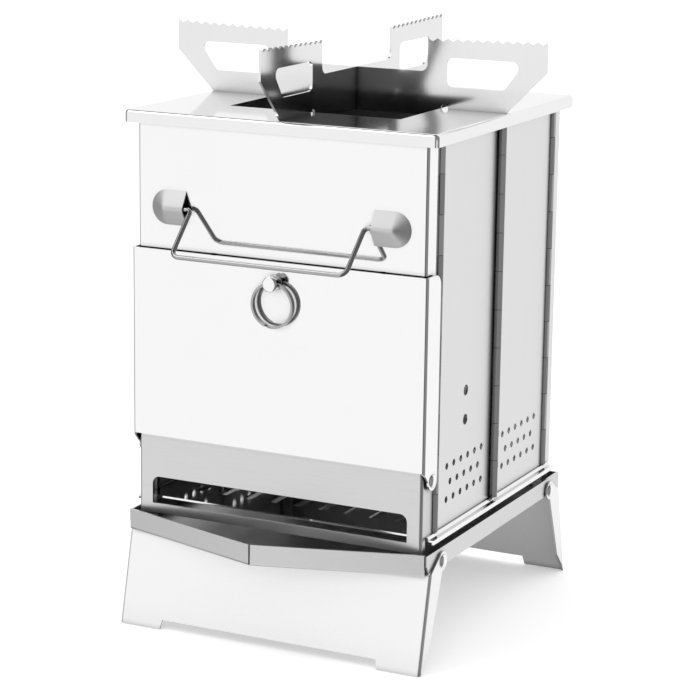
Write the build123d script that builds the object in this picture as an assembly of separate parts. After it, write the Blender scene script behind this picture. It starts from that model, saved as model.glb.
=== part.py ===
from build123d import *
from math import atan2, cos, radians, sin, tan
import os

os.makedirs("parts", exist_ok=True)

# Sheet metal and fits, in millimetres
SHEET = 1.2
BEND = 2.2
SEAM = 1.2
SEAT = 0.2
SLIDE_FIT = 0.15
OVERCUT = 1.0

# Fire box walls: X is left to right, Y is front (minus) to back
WALL_HALF = 97.65
PANEL_FACE = 102.8
WALL_HEIGHT = 243.0
PANEL_DROP = 9.7
FLANGE_DROP = 11.2
FRONT_FLANGE = 18.3
BACK_FLANGE = 14.3
FOOT_FLANGE = 5.6

# Piano hinges at the wall corners
PIN = 3.0
PIN_FIT = 0.05
KNUCKLES = 10
KNUCKLE_GAP = 0.3
KNUCKLE_SIDES = 10
BORE_SIDES = 6
NOTCH = 0.5

# Air holes in the leaves
AIR_HOLE = 4.0
AIR_PITCH = 10.5
AIR_ROWS = (6, 5, 6)
AIR_HEIGHT = 15.8
AIR_SIDES = 6
SMALL_HOLE = 6.6
SMALL_SIDES = 12
SMALL_HOLE_HEIGHTS = (60.3, 78.8)

# Openings in the front panel
SLOT_SIDE = 9.55
SLOT_LOW = 6.2
SLOT_HEIGHT = 17.5
SLOT_ROUND = 5.0
FEED_HALF = 75.0
FEED_LOW = 57.0
FEED_HEIGHT = 100.0
FEED_ROUND = 8.0

# Feed door
DOOR_SIDE_GAP = 1.35
DOOR_STANDOFF = 3.4
DOOR_LOW = 51.4
DOOR_HEIGHT = 118.0
DOOR_DEPTH = 18.6
DOOR_ROUND = 7.0
DOOR_PIVOT_IN = 12.6
DOOR_PIVOT_DROP = 7.1
DOOR_EYE = 6.0
EYE_SLACK = 0.01

# Stud and pull ring on the door
STUD_HEIGHT = 105.8
STUD_NECK = 6.6
STUD_HEAD = 9.5
STUD_HEAD_THICK = 2.5
STUD_COLLAR = 9.0
STUD_COLLAR_THICK = 1.0
STUD_NECK_LONG = 5.8
RING_EYE = 4.4
RING_OUTER = 28.5
RING_WIRE = 1.5
RING_SIDES = 36

# Carry bail and its clips
BAIL_WIRE = 3.0
BAIL_OUT = 3.2
BAIL_HEIGHT = 57.0
BAIL_EYE_BEND = 3.0
BAIL_GRIP_BEND = 5.0
BAIL_INTO_CLIP = 12.0
BAIL_EYE_OUT = 2.2
BAIL_GRIP_OUT = 5.3
BAIL_SIDES = 8
BAIL_FLAT = 0.05
BAIL_REACH = 24.8
BAIL_FALL = 24.5
CLIP_INNER = 63.5
CLIP_WIDTH = 21.7
CLIP_LONG = 24.0
CLIP_RISE = 6.4
CLIP_SHEET = 1.0
CLIP_RIDGE = 0.6
CLIP_SIDES = 8

# Top plate
PLATE_OVER_SIDE = 7.35
PLATE_OVER_FRONT = 4.3
PLATE_RIM = 7.7
PLATE_CORNER = 3.0
PLATE_OPENING = 58.25
SEAM_REACH = 7.2

# Cross shaped pot support
ARM_SHEET = 1.5
ARM_DROP = 4.6
ARM_LOW_FIT = 0.75
ARM_LOW_WALL = 22.4
ARM_STEP_IN = 9.25
ARM_TOP = 43.0
ARM_RISE = 1.7
ARM_FOOT_IN = 2.5
ARM_OVERHANG = 23.2
ARM_RELIEF = 2.5
ARM_RELIEF_OUT = 2.75
ARM_FILLET = 4.5
TEETH = 12
TOOTH_DEPTH = 2.0
WINDOW_OUT = 3.75
WINDOW_END = 14.8
WINDOW_SLANT = 13.1
WINDOW_LOW = 13.6
WINDOW_HIGH = 31.6
WINDOW_ROUND = 4.0

# Base tray
TRAY_OVER_SIDE = 5.35
TRAY_OVER_FRONT = 4.2
TRAY_OVER_BACK = 3.2
TRAY_LIP = 31.2
TRAY_DEPTH = 12.8
LIP_DEPTH = 13.6
TRAY_CORNER = 6.0
TRAY_BEND = 2.0
LIP_SEAM_DEPTH = 4.8

# Legs
LEG_HEIGHT = 59.4
LEG_FIT = 0.2
LEG_SPLAY = 12.8
LEG_OUT = 31.2
LEG_PIVOT_RISE = 4.6
FRONT_PIVOT_IN = 22.0
BACK_PIVOT_IN = 18.0
LEG_EYE = 6.0
LEG_GUSSET = 22.0
LEG_GUSSET_RISE = 14.4
FOOT_LENGTH = 28.5
FOOT_STEP = 5.8
FOOT_STEP_SLOPE = 1.5
FOOT_HEEL = 4.8
RIVET = 4.0
RIVET_FIT = 0.05
RIVET_HEAD = 8.0
RIVET_RISE = 1.6
RIVET_TAIL = 6.4
RIVET_TAIL_THICK = 1.0
HEAD_SIDES = 16
HOLE_SIDES = 12

# Fire grate
GRATE_RISE = 20.4
GRATE_GAP = 6.2
GRATE_LIP_DROP = 4.2
GRATE_STEP = 1.5
GRATE_STEP_OUT = 1.15
GRATE_BAR_PITCH = 17.5
GRATE_BARS = 9
GRATE_SLOT = 5.5
GRATE_SLOT_LONG = 70.0
GRATE_SLOT_GAP = 12.0
GRATE_FOOT_IN = 1.25
GRATE_FOOT_WIDTH = 6.5

# Heights that follow from the sizes above
FLOOR = LEG_HEIGHT + SHEET
TRAY_TOP = LEG_HEIGHT + TRAY_DEPTH
LIP_TOP = LEG_HEIGHT + LIP_DEPTH
GRATE_TOP = FLOOR + GRATE_RISE
WALL_LOW = GRATE_TOP + SEAT
WALL_TOP = WALL_LOW + WALL_HEIGHT
PLATE_TOP = WALL_TOP + SEAT + SHEET
PANEL_LOW = WALL_LOW - PANEL_DROP
FLANGE_LOW = WALL_LOW - FLANGE_DROP
DOOR_BOTTOM = PANEL_LOW + DOOR_LOW
DOOR_TOP = DOOR_BOTTOM + DOOR_HEIGHT
BAIL_Z = WALL_TOP - BAIL_HEIGHT
LEG_PIVOT_Z = LEG_HEIGHT + LEG_PIVOT_RISE

# Hinge places that follow from the sheet and the pin
PIN_R = PIN / 2
BORE_R = PIN_R + PIN_FIT
KNUCKLE_R = BORE_R + SHEET
INNER_X = WALL_HALF - SHEET
CORNER_X = WALL_HALF - SHEET / 2
MIDDLE_X = INNER_X + KNUCKLE_R
FRONT_Y = FRONT_FLANGE - PANEL_FACE
BACK_Y = PANEL_FACE - BACK_FLANGE
MIDDLE_Y = (FRONT_Y + BACK_Y) / 2
DOOR_FACE = -PANEL_FACE - DOOR_STANDOFF
DOOR_PIVOT_Y = DOOR_FACE + DOOR_PIVOT_IN
DOOR_PIVOT_Z = DOOR_BOTTOM - DOOR_PIVOT_DROP
BAIL_Y = -PANEL_FACE - BAIL_OUT
STUD_EYE_Y = DOOR_FACE - STUD_COLLAR_THICK - STUD_NECK_LONG / 2
STUD_Z = DOOR_BOTTOM + STUD_HEIGHT

# Widths and depths that follow from the fire box
DOOR_HALF = WALL_HALF + DOOR_SIDE_GAP + SHEET
SLOT_HALF = WALL_HALF - SLOT_SIDE
PLATE_HALF_X = WALL_HALF + PLATE_OVER_SIDE
PLATE_HALF_Y = PANEL_FACE + PLATE_OVER_FRONT
TRAY_HALF = WALL_HALF + TRAY_OVER_SIDE
TRAY_FRONT = PANEL_FACE + TRAY_OVER_FRONT
TRAY_BACK = PANEL_FACE + TRAY_OVER_BACK
TRAY_POINT = TRAY_FRONT + TRAY_LIP
FRONT_PIVOT = TRAY_FRONT - FRONT_PIVOT_IN
BACK_PIVOT = TRAY_BACK - BACK_PIVOT_IN
GRATE_END = PANEL_FACE - GRATE_GAP
GRATE_STEP_AT = WALL_HALF + GRATE_STEP_OUT
GRATE_FOOT_AT = INNER_X - GRATE_FOOT_IN

# Lengths of the bail and of the pot support
BAIL_END = CLIP_INNER + BAIL_INTO_CLIP
BAIL_EYE = CLIP_INNER - BAIL_EYE_OUT
BAIL_GRIP_HALF = CLIP_INNER - BAIL_GRIP_OUT
ARM_LOW_HALF = PLATE_OPENING - ARM_LOW_FIT
ARM_STEP = PLATE_OPENING - ARM_STEP_IN
ARM_FOOT = PLATE_HALF_X - ARM_FOOT_IN
ARM_REACH = PLATE_HALF_X + ARM_OVERHANG
WINDOW_NEAR = PLATE_OPENING + WINDOW_OUT
WINDOW_FAR = ARM_REACH - WINDOW_END

# The finished part stands with its footprint centred on the origin
FOOTPRINT_SHIFT = (TRAY_POINT - ARM_REACH) / 2


def block(x0, x1, y0, y1, z0, z1):
    """A box between two corners."""
    centre = Pos((x0 + x1) / 2, (y0 + y1) / 2, (z0 + z1) / 2)
    return centre * Box(x1 - x0, y1 - y0, z1 - z0)


def across_x(outline, x0, x1):
    """An outline drawn in Y and Z, with its thickness along X."""
    return extrude(Plane.YZ.offset(x0) * outline, x1 - x0)


def across_y(outline, y0, y1):
    """An outline drawn in X and Z, with its thickness along Y."""
    return extrude(Plane.XZ.offset(-y1) * outline, y1 - y0)


def upward(outline, z0, z1):
    """An outline drawn in X and Y, with its thickness along Z."""
    return extrude(Plane.XY.offset(z0) * outline, z1 - z0)


def outline_of(*points):
    """A flat face with straight edges."""
    return make_face(Polyline(*points, close=True))


def ring_of(radius, sides):
    """The corners of a regular outline round the origin."""
    turns = [radians(360 * index / sides) for index in range(sides)]
    return [(radius * cos(turn), radius * sin(turn)) for turn in turns]


def frustum(foot, top, low, high):
    """A solid with flat faces between two outlines that have as many corners."""
    foot = [Vector(x, y, low) for x, y in foot]
    top = [Vector(x, y, high) for x, y in top]
    faces = [Face(Wire.make_polygon(foot)), Face(Wire.make_polygon(top))]
    for index in range(len(foot)):
        after = (index + 1) % len(foot)
        corners = [foot[index], foot[after], top[after], top[index]]
        faces.append(Face(Wire.make_polygon(corners)))
    return Solid(Shell(faces))


def soft_outline(points, radii):
    """A flat face whose corners are rounded, one radius for each point."""
    return make_face(FilletPolyline(*points, radius=radii, close=True))


def rod_x(radius, x0, x1, y, z):
    """A round bar along X."""
    bar = Cylinder(radius, x1 - x0, align=(Align.CENTER, Align.CENTER, Align.MIN))
    return Pos(x0, y, z) * Rot(0, 90, 0) * bar


def prism_x(radius, sides, x0, x1, y, z):
    """A many sided bar along X that clears a round of this radius."""
    face = RegularPolygon(radius, sides, major_radius=False)
    return across_x(Pos(y, z) * face, x0, x1)


def pivot_hole(radius, half, y, z):
    """A hole along X right through the object that clears a rivet's shank."""
    reach = half + OVERCUT
    return prism_x(radius + RIVET_FIT, HOLE_SIDES, -reach, reach, y, z)


def mirrored_x(shape):
    """The same shape on the other side of the centre line."""
    return mirror(shape, about=Plane.YZ)


def mirrored_y(shape):
    """The same shape turned from front to back."""
    return mirror(shape, about=Plane.XZ)


# Piano hinges
def knuckle_span(index):
    """Lowest and highest level of one knuckle's share of the wall."""
    pitch = WALL_HEIGHT / KNUCKLES
    return WALL_LOW + index * pitch, WALL_LOW + (index + 1) * pitch


def with_knuckles(sheet, x, y, first):
    """Roll every second knuckle onto a sheet's edge and notch it for the rest."""
    reach = KNUCKLE_R + NOTCH
    knuckle = RegularPolygon(KNUCKLE_R, KNUCKLE_SIDES, major_radius=False)
    for index in range(KNUCKLES):
        low, high = knuckle_span(index)
        if index % 2 == first:
            spot = Pos(x, y) * knuckle
            sheet += upward(spot, low + KNUCKLE_GAP / 2, high - KNUCKLE_GAP / 2)
        else:
            low_cut = low - KNUCKLE_GAP / 2
            high_cut = high + KNUCKLE_GAP / 2
            sheet -= block(x - reach, x + reach, y - reach, y + reach, low_cut, high_cut)
    bore = RegularPolygon(BORE_R, BORE_SIDES, major_radius=False)
    return sheet - upward(Pos(x, y) * bore, WALL_LOW - OVERCUT, WALL_TOP + OVERCUT)


def hinge_pin(x, y):
    """The pin through one hinge, ending inside the first and last knuckle."""
    low = WALL_LOW + KNUCKLE_GAP
    high = WALL_TOP - KNUCKLE_GAP
    return Pos(x, y, low) * Cylinder(PIN_R, high - low, align=(Align.CENTER, Align.CENTER, Align.MIN))


# Front and back panels
def folded_panel(flange, face_low, flange_low):
    """A wall with both sides folded back towards the hinges, at the front."""
    outer = Rectangle(2 * WALL_HALF, 2 * flange)
    outer = fillet(outer.vertices(), BEND)
    inner = Rectangle(2 * INNER_X, 2 * (flange - SHEET))
    inner = fillet(inner.vertices(), BEND - SHEET)
    shell = upward(Pos(0, flange - PANEL_FACE) * (outer - inner), flange_low, WALL_TOP)
    behind = flange - PANEL_FACE
    shell -= block(-WALL_HALF, WALL_HALF, behind, behind + 2 * flange, flange_low, WALL_TOP)
    foot_end = FOOT_FLANGE - PANEL_FACE
    below = block(-WALL_HALF, WALL_HALF, foot_end, behind, flange_low, WALL_LOW - SEAT)
    flat_half = INNER_X - BEND
    under_face = block(-flat_half, flat_half, -PANEL_FACE, SHEET - PANEL_FACE, flange_low, face_low)
    return shell - below - under_face


def front_panel():
    """The front wall with the air slot and the feed opening behind the door."""
    panel = folded_panel(FRONT_FLANGE, PANEL_LOW, FLANGE_LOW)
    panel = with_knuckles(panel, CORNER_X, FRONT_Y, 1)
    panel = with_knuckles(panel, -CORNER_X, FRONT_Y, 1)
    slot_low = PANEL_LOW + SLOT_LOW
    slot_high = slot_low + SLOT_HEIGHT
    slot_points = [
        (-SLOT_HALF, slot_low),
        (SLOT_HALF, slot_low),
        (SLOT_HALF, slot_high),
        (-SLOT_HALF, slot_high),
    ]
    slot = soft_outline(slot_points, [0, 0, SLOT_ROUND, SLOT_ROUND])
    feed_low = PANEL_LOW + FEED_LOW
    feed = RectangleRounded(2 * FEED_HALF, FEED_HEIGHT, FEED_ROUND)
    front = -PANEL_FACE - OVERCUT
    back = SHEET - PANEL_FACE + OVERCUT
    panel -= across_y(slot, front, back)
    panel -= across_y(Pos(0, feed_low + FEED_HEIGHT / 2) * feed, front, back)
    return panel - pivot_hole(PIN_R, WALL_HALF, DOOR_PIVOT_Y, DOOR_PIVOT_Z)


def back_panel():
    """The plain rear wall."""
    panel = mirrored_y(folded_panel(BACK_FLANGE, PANEL_LOW, FLANGE_LOW))
    panel = with_knuckles(panel, CORNER_X, BACK_Y, 1)
    return with_knuckles(panel, -CORNER_X, BACK_Y, 1)


# Folding side walls
def air_holes(y):
    """Staggered rows of small holes near the foot of a leaf."""
    holes = []
    inside, outside = INNER_X - OVERCUT, WALL_HALF + OVERCUT
    for row, count in enumerate(AIR_ROWS):
        z = WALL_LOW + AIR_HEIGHT + row * AIR_PITCH
        for index in range(count):
            across = y + (index - (count - 1) / 2) * AIR_PITCH
            holes.append(prism_x(AIR_HOLE / 2, AIR_SIDES, inside, outside, across, z))
    return holes


def side_leaf(corner_y, top_holes):
    """One of the two leaves of a side wall, between a corner and the middle hinge."""
    low_y, high_y = sorted((corner_y, MIDDLE_Y))
    leaf = block(INNER_X, WALL_HALF, low_y, high_y, WALL_LOW, WALL_TOP)
    front_leaf = corner_y < MIDDLE_Y
    leaf = with_knuckles(leaf, CORNER_X, corner_y, 0)
    leaf = with_knuckles(leaf, MIDDLE_X, MIDDLE_Y, 0 if front_leaf else 1)
    centre = (corner_y + MIDDLE_Y) / 2
    leaf -= air_holes(centre)
    if top_holes:
        inside, outside = INNER_X - OVERCUT, WALL_HALF + OVERCUT
        for height in SMALL_HOLE_HEIGHTS:
            z = WALL_LOW + height
            leaf -= prism_x(SMALL_HOLE / 2, SMALL_SIDES, inside, outside, centre, z)
    return leaf


# Feed door
def feed_door():
    """The loading door, whose sides wrap the front corners down to two pivots."""
    rear = DOOR_FACE + DOOR_DEPTH
    outer = fillet(Rectangle(2 * DOOR_HALF, 2 * DOOR_DEPTH).vertices(), BEND)
    inner = Rectangle(2 * (DOOR_HALF - SHEET), 2 * (DOOR_DEPTH - SHEET))
    inner = fillet(inner.vertices(), BEND - SHEET)
    foot = DOOR_PIVOT_Z - DOOR_EYE
    shell = upward(Pos(0, rear) * (outer - inner), foot, DOOR_TOP)
    side_points = [
        (DOOR_FACE, DOOR_BOTTOM),
        (DOOR_PIVOT_Y - DOOR_EYE, DOOR_PIVOT_Z),
        (DOOR_PIVOT_Y - DOOR_EYE, foot),
        (rear, foot),
        (rear, DOOR_TOP),
        (DOOR_FACE, DOOR_TOP),
    ]
    eye = min(DOOR_EYE, (rear - DOOR_PIVOT_Y + DOOR_EYE) / 2) - EYE_SLACK
    side = soft_outline(side_points, [0, 0, eye, eye, DOOR_ROUND, 0])
    door = shell & across_x(side, -DOOR_HALF, DOOR_HALF)
    flat_half = DOOR_HALF - BEND
    door -= block(-flat_half, flat_half, DOOR_FACE, DOOR_FACE + SHEET, foot, DOOR_BOTTOM)
    door -= pivot_hole(PIN_R, DOOR_HALF, DOOR_PIVOT_Y, DOOR_PIVOT_Z)
    stud_hole = Pos(0, STUD_Z) * RegularPolygon(STUD_NECK / 2 - SHEET, HOLE_SIDES, major_radius=False)
    return door - across_y(stud_hole, DOOR_FACE - OVERCUT, DOOR_FACE + SHEET + OVERCUT)


def sloped_disc(radius, rise, thick):
    """A many sided disc on z = 0 whose outer edge slopes in over its last part."""
    wide = ring_of(radius, HEAD_SIDES)
    slope = frustum(wide, ring_of(radius - rise, HEAD_SIDES), thick - rise, thick)
    if thick > rise:
        return slope + extrude(outline_of(*wide), thick - rise)
    return slope


def rivet_x(shank, outer_x, inner_x, y, z, spacer):
    """A rivet along X with a sloped head outside and a flat tail inside."""
    head = Pos(outer_x, y, z) * Rot(0, 90, 0) * sloped_disc(RIVET_HEAD / 2, RIVET_RISE, RIVET_RISE)
    body = rod_x(shank, inner_x, outer_x, y, z)
    tail = prism_x(RIVET_TAIL / 2, HOLE_SIDES, inner_x - RIVET_TAIL_THICK, inner_x, y, z)
    rivet = head + body + tail
    if spacer:
        spacer_end = DOOR_HALF - SHEET - RIVET_FIT
        rivet += prism_x(RIVET_TAIL / 2, HOLE_SIDES, WALL_HALF, spacer_end, y, z)
    return rivet


def door_rivets():
    """The pair of shouldered rivets that the door swings on."""
    outer = DOOR_HALF + RIVET_FIT
    right = rivet_x(PIN_R, outer, INNER_X, DOOR_PIVOT_Y, DOOR_PIVOT_Z, True)
    return Compound([right, mirrored_x(right)])


def ring_stud():
    """The stud riveted to the door, with a cross hole for the pull ring."""
    collar_face = DOOR_FACE - STUD_COLLAR_THICK
    head_back = collar_face - STUD_NECK_LONG
    spot = Pos(0, STUD_Z)
    stud = across_y(spot * RegularPolygon(STUD_COLLAR / 2, HEAD_SIDES), collar_face, DOOR_FACE)
    stud += across_y(spot * RegularPolygon(STUD_NECK / 2, HOLE_SIDES), head_back, collar_face)
    head = sloped_disc(STUD_HEAD / 2, STUD_HEAD_THICK / 3, STUD_HEAD_THICK)
    stud += Pos(0, head_back, STUD_Z) * Rot(90, 0, 0) * head
    shank = RegularPolygon(STUD_NECK / 2 - SHEET - RIVET_FIT, HOLE_SIDES, major_radius=False)
    stud += across_y(spot * shank, DOOR_FACE, DOOR_FACE + SHEET)
    tail_end = DOOR_FACE + SHEET + RIVET_TAIL_THICK
    tail = RegularPolygon(RIVET_TAIL / 2, HOLE_SIDES)
    stud += across_y(spot * tail, DOOR_FACE + SHEET, tail_end)
    return stud - rod_x(RING_EYE / 2, -STUD_HEAD, STUD_HEAD, STUD_EYE_Y, STUD_Z)


def pull_ring():
    """A split ring of two flat turns, with the step from one turn to the other."""
    outer = RING_OUTER / 2
    inner = outer - RING_WIRE
    centre_z = STUD_Z - (outer + inner) / 2
    full_turn = RegularPolygon(outer, RING_SIDES) - RegularPolygon(inner, RING_SIDES)
    turn = full_turn - Pos(0, -outer) * Rectangle(2 * RING_WIRE, outer)
    front = STUD_EYE_Y - RING_WIRE - RIVET_FIT
    back = STUD_EYE_Y + RING_WIRE + RIVET_FIT
    ring = across_y(Pos(0, centre_z) * turn, front, STUD_EYE_Y - RIVET_FIT)
    ring += across_y(Pos(0, centre_z) * turn, STUD_EYE_Y + RIVET_FIT, back)
    step_half = RING_WIRE + OVERCUT
    step = outline_of(
        (-step_half, front),
        (step_half, back - RING_WIRE),
        (step_half, back),
        (-step_half, front + RING_WIRE),
    )
    bridge = upward(step, centre_z - outer, centre_z - inner + OVERCUT)
    return ring + (bridge & across_y(Pos(0, centre_z) * full_turn, front, back))


# Carry bail
def ridge_points(straight, width):
    """A bar that ends in a half round on the right, seen from above."""
    points = [(-straight, width), (-straight, -width)]
    for index in range(CLIP_SIDES + 1):
        turn = radians(180 * index / CLIP_SIDES - 90)
        points.append((width * cos(turn), width * sin(turn)))
    return points


def ridge_solid(rise, half, straight):
    """A ridge along X with a narrow flat top, standing on the XY plane."""
    height = rise * (1 - CLIP_RIDGE / half)
    return frustum(ridge_points(straight, half), ridge_points(straight, CLIP_RIDGE), 0, height)


def bail_clip():
    """The pressed cover that holds one end of the bail, on the right."""
    half = CLIP_WIDTH / 2
    straight = CLIP_LONG - half
    slope = atan2(CLIP_RISE, half)
    outer = ridge_solid(CLIP_RISE, half, straight)
    inner_rise = CLIP_RISE - CLIP_SHEET / cos(slope)
    hollow = ridge_solid(inner_rise, half - CLIP_SHEET / sin(slope), straight + OVERCUT)
    place = Plane(
        origin=(CLIP_INNER + straight, -PANEL_FACE, BAIL_Z),
        x_dir=(1, 0, 0),
        z_dir=(0, -1, 0),
    )
    return place * (outer - hollow)


def carry_bail():
    """The wire handle, propped out from the panel."""
    grip_y = BAIL_Y - BAIL_REACH
    grip_z = BAIL_Z - BAIL_FALL
    start_x = CLIP_INNER + OVERCUT
    points = [
        (-start_x, BAIL_Y, BAIL_Z),
        (-BAIL_EYE, BAIL_Y, BAIL_Z),
        (-BAIL_GRIP_HALF, grip_y, grip_z),
        (BAIL_GRIP_HALF, grip_y, grip_z),
        (BAIL_EYE, BAIL_Y, BAIL_Z),
        (start_x, BAIL_Y, BAIL_Z),
    ]
    bends = [BAIL_EYE_BEND, BAIL_GRIP_BEND, BAIL_GRIP_BEND, BAIL_EYE_BEND]
    path = FilletPolyline(*points, radius=bends)
    start = Plane(origin=points[0], z_dir=(1, 0, 0))
    wire = sweep(start * RegularPolygon(BAIL_WIRE / 2 - BAIL_FLAT, BAIL_SIDES), path=path)
    end = rod_x(BAIL_WIRE / 2, CLIP_INNER, BAIL_END, BAIL_Y, BAIL_Z)
    return wire + end + mirrored_x(end)


# Top plate and pot support
def top_plate():
    """The stove top with its folded rim, open corner seams and square opening."""
    low = PLATE_TOP - PLATE_RIM
    outer = RectangleRounded(2 * PLATE_HALF_X, 2 * PLATE_HALF_Y, PLATE_CORNER)
    plate = upward(outer, low, PLATE_TOP)
    plate = fillet(plate.faces().sort_by(Axis.Z)[-1].edges(), BEND)
    inner_x = PLATE_HALF_X - SHEET
    inner_y = PLATE_HALF_Y - SHEET
    inner = RectangleRounded(2 * inner_x, 2 * inner_y, PLATE_CORNER - SHEET)
    plate -= upward(inner, low - OVERCUT, PLATE_TOP - SHEET)
    opening = Rectangle(2 * PLATE_OPENING, 2 * PLATE_OPENING)
    plate -= upward(opening, low, PLATE_TOP + OVERCUT)
    slit = Pos(0, 0, low) * Box(SEAM_REACH, SEAM, 2 * (PLATE_RIM - BEND))
    for side_x in (-1, 1):
        for side_y in (-1, 1):
            corner = Pos(side_x * PLATE_HALF_X, side_y * PLATE_HALF_Y) * Rot(0, 0, 45 * side_x * side_y)
            plate -= corner * slit
    return plate


def arm_profile():
    """Outline of one whole pot support plate, width against height."""
    foot = PLATE_TOP + SEAT / 2
    top = PLATE_TOP + ARM_TOP
    low_wall = PLATE_TOP + ARM_LOW_WALL
    pitch = (ARM_REACH - ARM_STEP) / TEETH
    rise = ARM_RISE / TEETH
    teeth = []
    for index in range(TEETH):
        start = ARM_STEP + index * pitch
        level = top + index * rise
        teeth.append((start, level))
        teeth.append((start + pitch / 2, level + rise / 2 - TOOTH_DEPTH))
    teeth.append((ARM_REACH, top + ARM_RISE))
    right = [
        (0, PLATE_TOP - ARM_DROP),
        (ARM_LOW_HALF, PLATE_TOP - ARM_DROP),
        (ARM_LOW_HALF, foot),
        (ARM_FOOT, foot),
        (ARM_REACH, foot + ARM_REACH - ARM_FOOT),
    ]
    half = outline_of(*right, *reversed(teeth), (ARM_STEP, low_wall), (0, low_wall))
    corner = half.vertices().sort_by_distance(Vector(ARM_STEP, low_wall))[0]
    half = fillet(corner, ARM_FILLET)
    half -= Pos(PLATE_OPENING + ARM_RELIEF_OUT, foot) * Circle(ARM_RELIEF)
    low = PLATE_TOP + WINDOW_LOW
    high = PLATE_TOP + WINDOW_HIGH
    window_points = [
        (WINDOW_NEAR, low),
        (WINDOW_FAR - WINDOW_SLANT, low),
        (WINDOW_FAR, high),
        (WINDOW_NEAR, high),
    ]
    half -= soft_outline(window_points, [WINDOW_ROUND] * 4)
    return half + mirror(half, Plane.YZ)


def half_lap(from_above):
    """The slot where the two plates cross, open at the top or at the bottom."""
    low = PLATE_TOP - ARM_DROP
    high = PLATE_TOP + ARM_LOW_WALL
    middle = (low + high) / 2
    half = ARM_SHEET / 2 + SLIDE_FIT
    if from_above:
        return block(-half, half, -half, half, middle - SLIDE_FIT, high + OVERCUT)
    return block(-half, half, -half, half, low - OVERCUT, middle + SLIDE_FIT)


def pot_support_front_back():
    """The plate that runs from front to back, slotted from above."""
    plate = across_x(arm_profile(), -ARM_SHEET / 2, ARM_SHEET / 2)
    return plate - half_lap(True)


def pot_support_left_right():
    """The plate that runs from left to right, slotted from below."""
    plate = across_y(arm_profile(), -ARM_SHEET / 2, ARM_SHEET / 2)
    return plate - half_lap(False)


# Base tray
def tray_outline(inset):
    """The tray seen from above: a box with a pointed front lip."""
    half = TRAY_HALF - inset
    slope = (TRAY_POINT - TRAY_FRONT) / TRAY_HALF
    point = TRAY_POINT - inset / cos(atan2(TRAY_POINT - TRAY_FRONT, TRAY_HALF))
    front = point - slope * half
    back = TRAY_BACK - inset
    return outline_of((half, back), (half, -front), (0, -point), (-half, -front), (-half, back))


def base_tray():
    """The ash tray, folded from one sheet with open seams at its front corners."""
    tray = upward(tray_outline(0), LEG_HEIGHT, LIP_TOP)
    tray = fillet(tray.faces().sort_by(Axis.Z)[0].edges(), TRAY_BEND)
    tray -= upward(tray_outline(SHEET), FLOOR, LIP_TOP + OVERCUT)
    beside = TRAY_HALF + OVERCUT
    above = LIP_TOP + OVERCUT
    tray -= block(-beside, beside, SEAM - TRAY_FRONT, TRAY_BACK + OVERCUT, TRAY_TOP, above)
    seam_back = LIP_SEAM_DEPTH - TRAY_POINT
    tray -= block(-SEAM / 2, SEAM / 2, -TRAY_POINT, seam_back, FLOOR, above)
    corner_low = LEG_HEIGHT + TRAY_CORNER
    before = -TRAY_FRONT - OVERCUT
    wedge = outline_of(
        (before, LEG_HEIGHT - OVERCUT),
        (TRAY_CORNER - TRAY_FRONT, LEG_HEIGHT - OVERCUT),
        (-TRAY_FRONT + SEAM, corner_low),
        (-TRAY_FRONT + SEAM, above),
        (before, above),
    )
    for side in (-1, 1):
        edge_a, edge_b = sorted((side * (TRAY_HALF - SHEET), side * beside))
        tray -= across_x(wedge, edge_a, edge_b)
    for pivot in (-FRONT_PIVOT, BACK_PIVOT):
        tray -= pivot_hole(RIVET / 2, TRAY_HALF, pivot, LEG_PIVOT_Z)
    return tray


def front_leg():
    """A pair of feet on one folded plate, hinged outside the tray at the front."""
    lean = tan(radians(LEG_SPLAY))
    outer_half = TRAY_HALF + LEG_FIT + SHEET
    foot_y = -FRONT_PIVOT - LEG_OUT
    top_z = LEG_HEIGHT - SEAT
    top_y = foot_y + top_z * lean
    eye_corner = LEG_EYE * cos(radians(45))
    side = outline_of(
        (foot_y, 0),
        (top_y, top_z),
        (-FRONT_PIVOT - eye_corner, LEG_PIVOT_Z + eye_corner),
        (-FRONT_PIVOT, LEG_PIVOT_Z),
        (-FRONT_PIVOT, LEG_HEIGHT),
        (-FRONT_PIVOT - LEG_GUSSET + FOOT_HEEL, LEG_GUSSET_RISE),
        (foot_y + FOOT_HEEL, FOOT_HEEL),
        (foot_y + FOOT_HEEL / 2, 0),
    )
    side += Pos(-FRONT_PIVOT, LEG_PIVOT_Z) * Circle(LEG_EYE)
    depth = LEG_OUT + 2 * LEG_EYE
    outer = Rectangle(2 * outer_half, 2 * depth)
    outer = fillet(outer.vertices(), BEND)
    inner = Rectangle(2 * (outer_half - SHEET), 2 * (depth - SHEET))
    inner = fillet(inner.vertices(), BEND - SHEET)
    channel = extrude(Pos(0, depth) * (outer - inner), 2 * LEG_HEIGHT)
    channel = Pos(0, foot_y, 0) * Rot(-LEG_SPLAY, 0, 0) * Pos(0, 0, -LEG_HEIGHT / 2) * channel
    leg = channel & across_x(side, -outer_half, outer_half)
    inner_half = outer_half - SHEET
    leg -= block(-inner_half, inner_half, foot_y, 0, top_z, 2 * LEG_HEIGHT)
    foot_in = outer_half - FOOT_LENGTH
    arch = outline_of(
        (-foot_in, -OVERCUT),
        (foot_in, -OVERCUT),
        (foot_in - FOOT_STEP_SLOPE, FOOT_STEP),
        (FOOT_STEP_SLOPE - foot_in, FOOT_STEP),
    )
    leg -= across_y(arch, foot_y - OVERCUT, foot_y + FOOT_STEP)
    return leg - pivot_hole(RIVET / 2, outer_half, -FRONT_PIVOT, LEG_PIVOT_Z)


def rear_leg():
    """The same leg turned round, at the back."""
    return Pos(0, BACK_PIVOT - FRONT_PIVOT, 0) * mirrored_y(front_leg())


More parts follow.
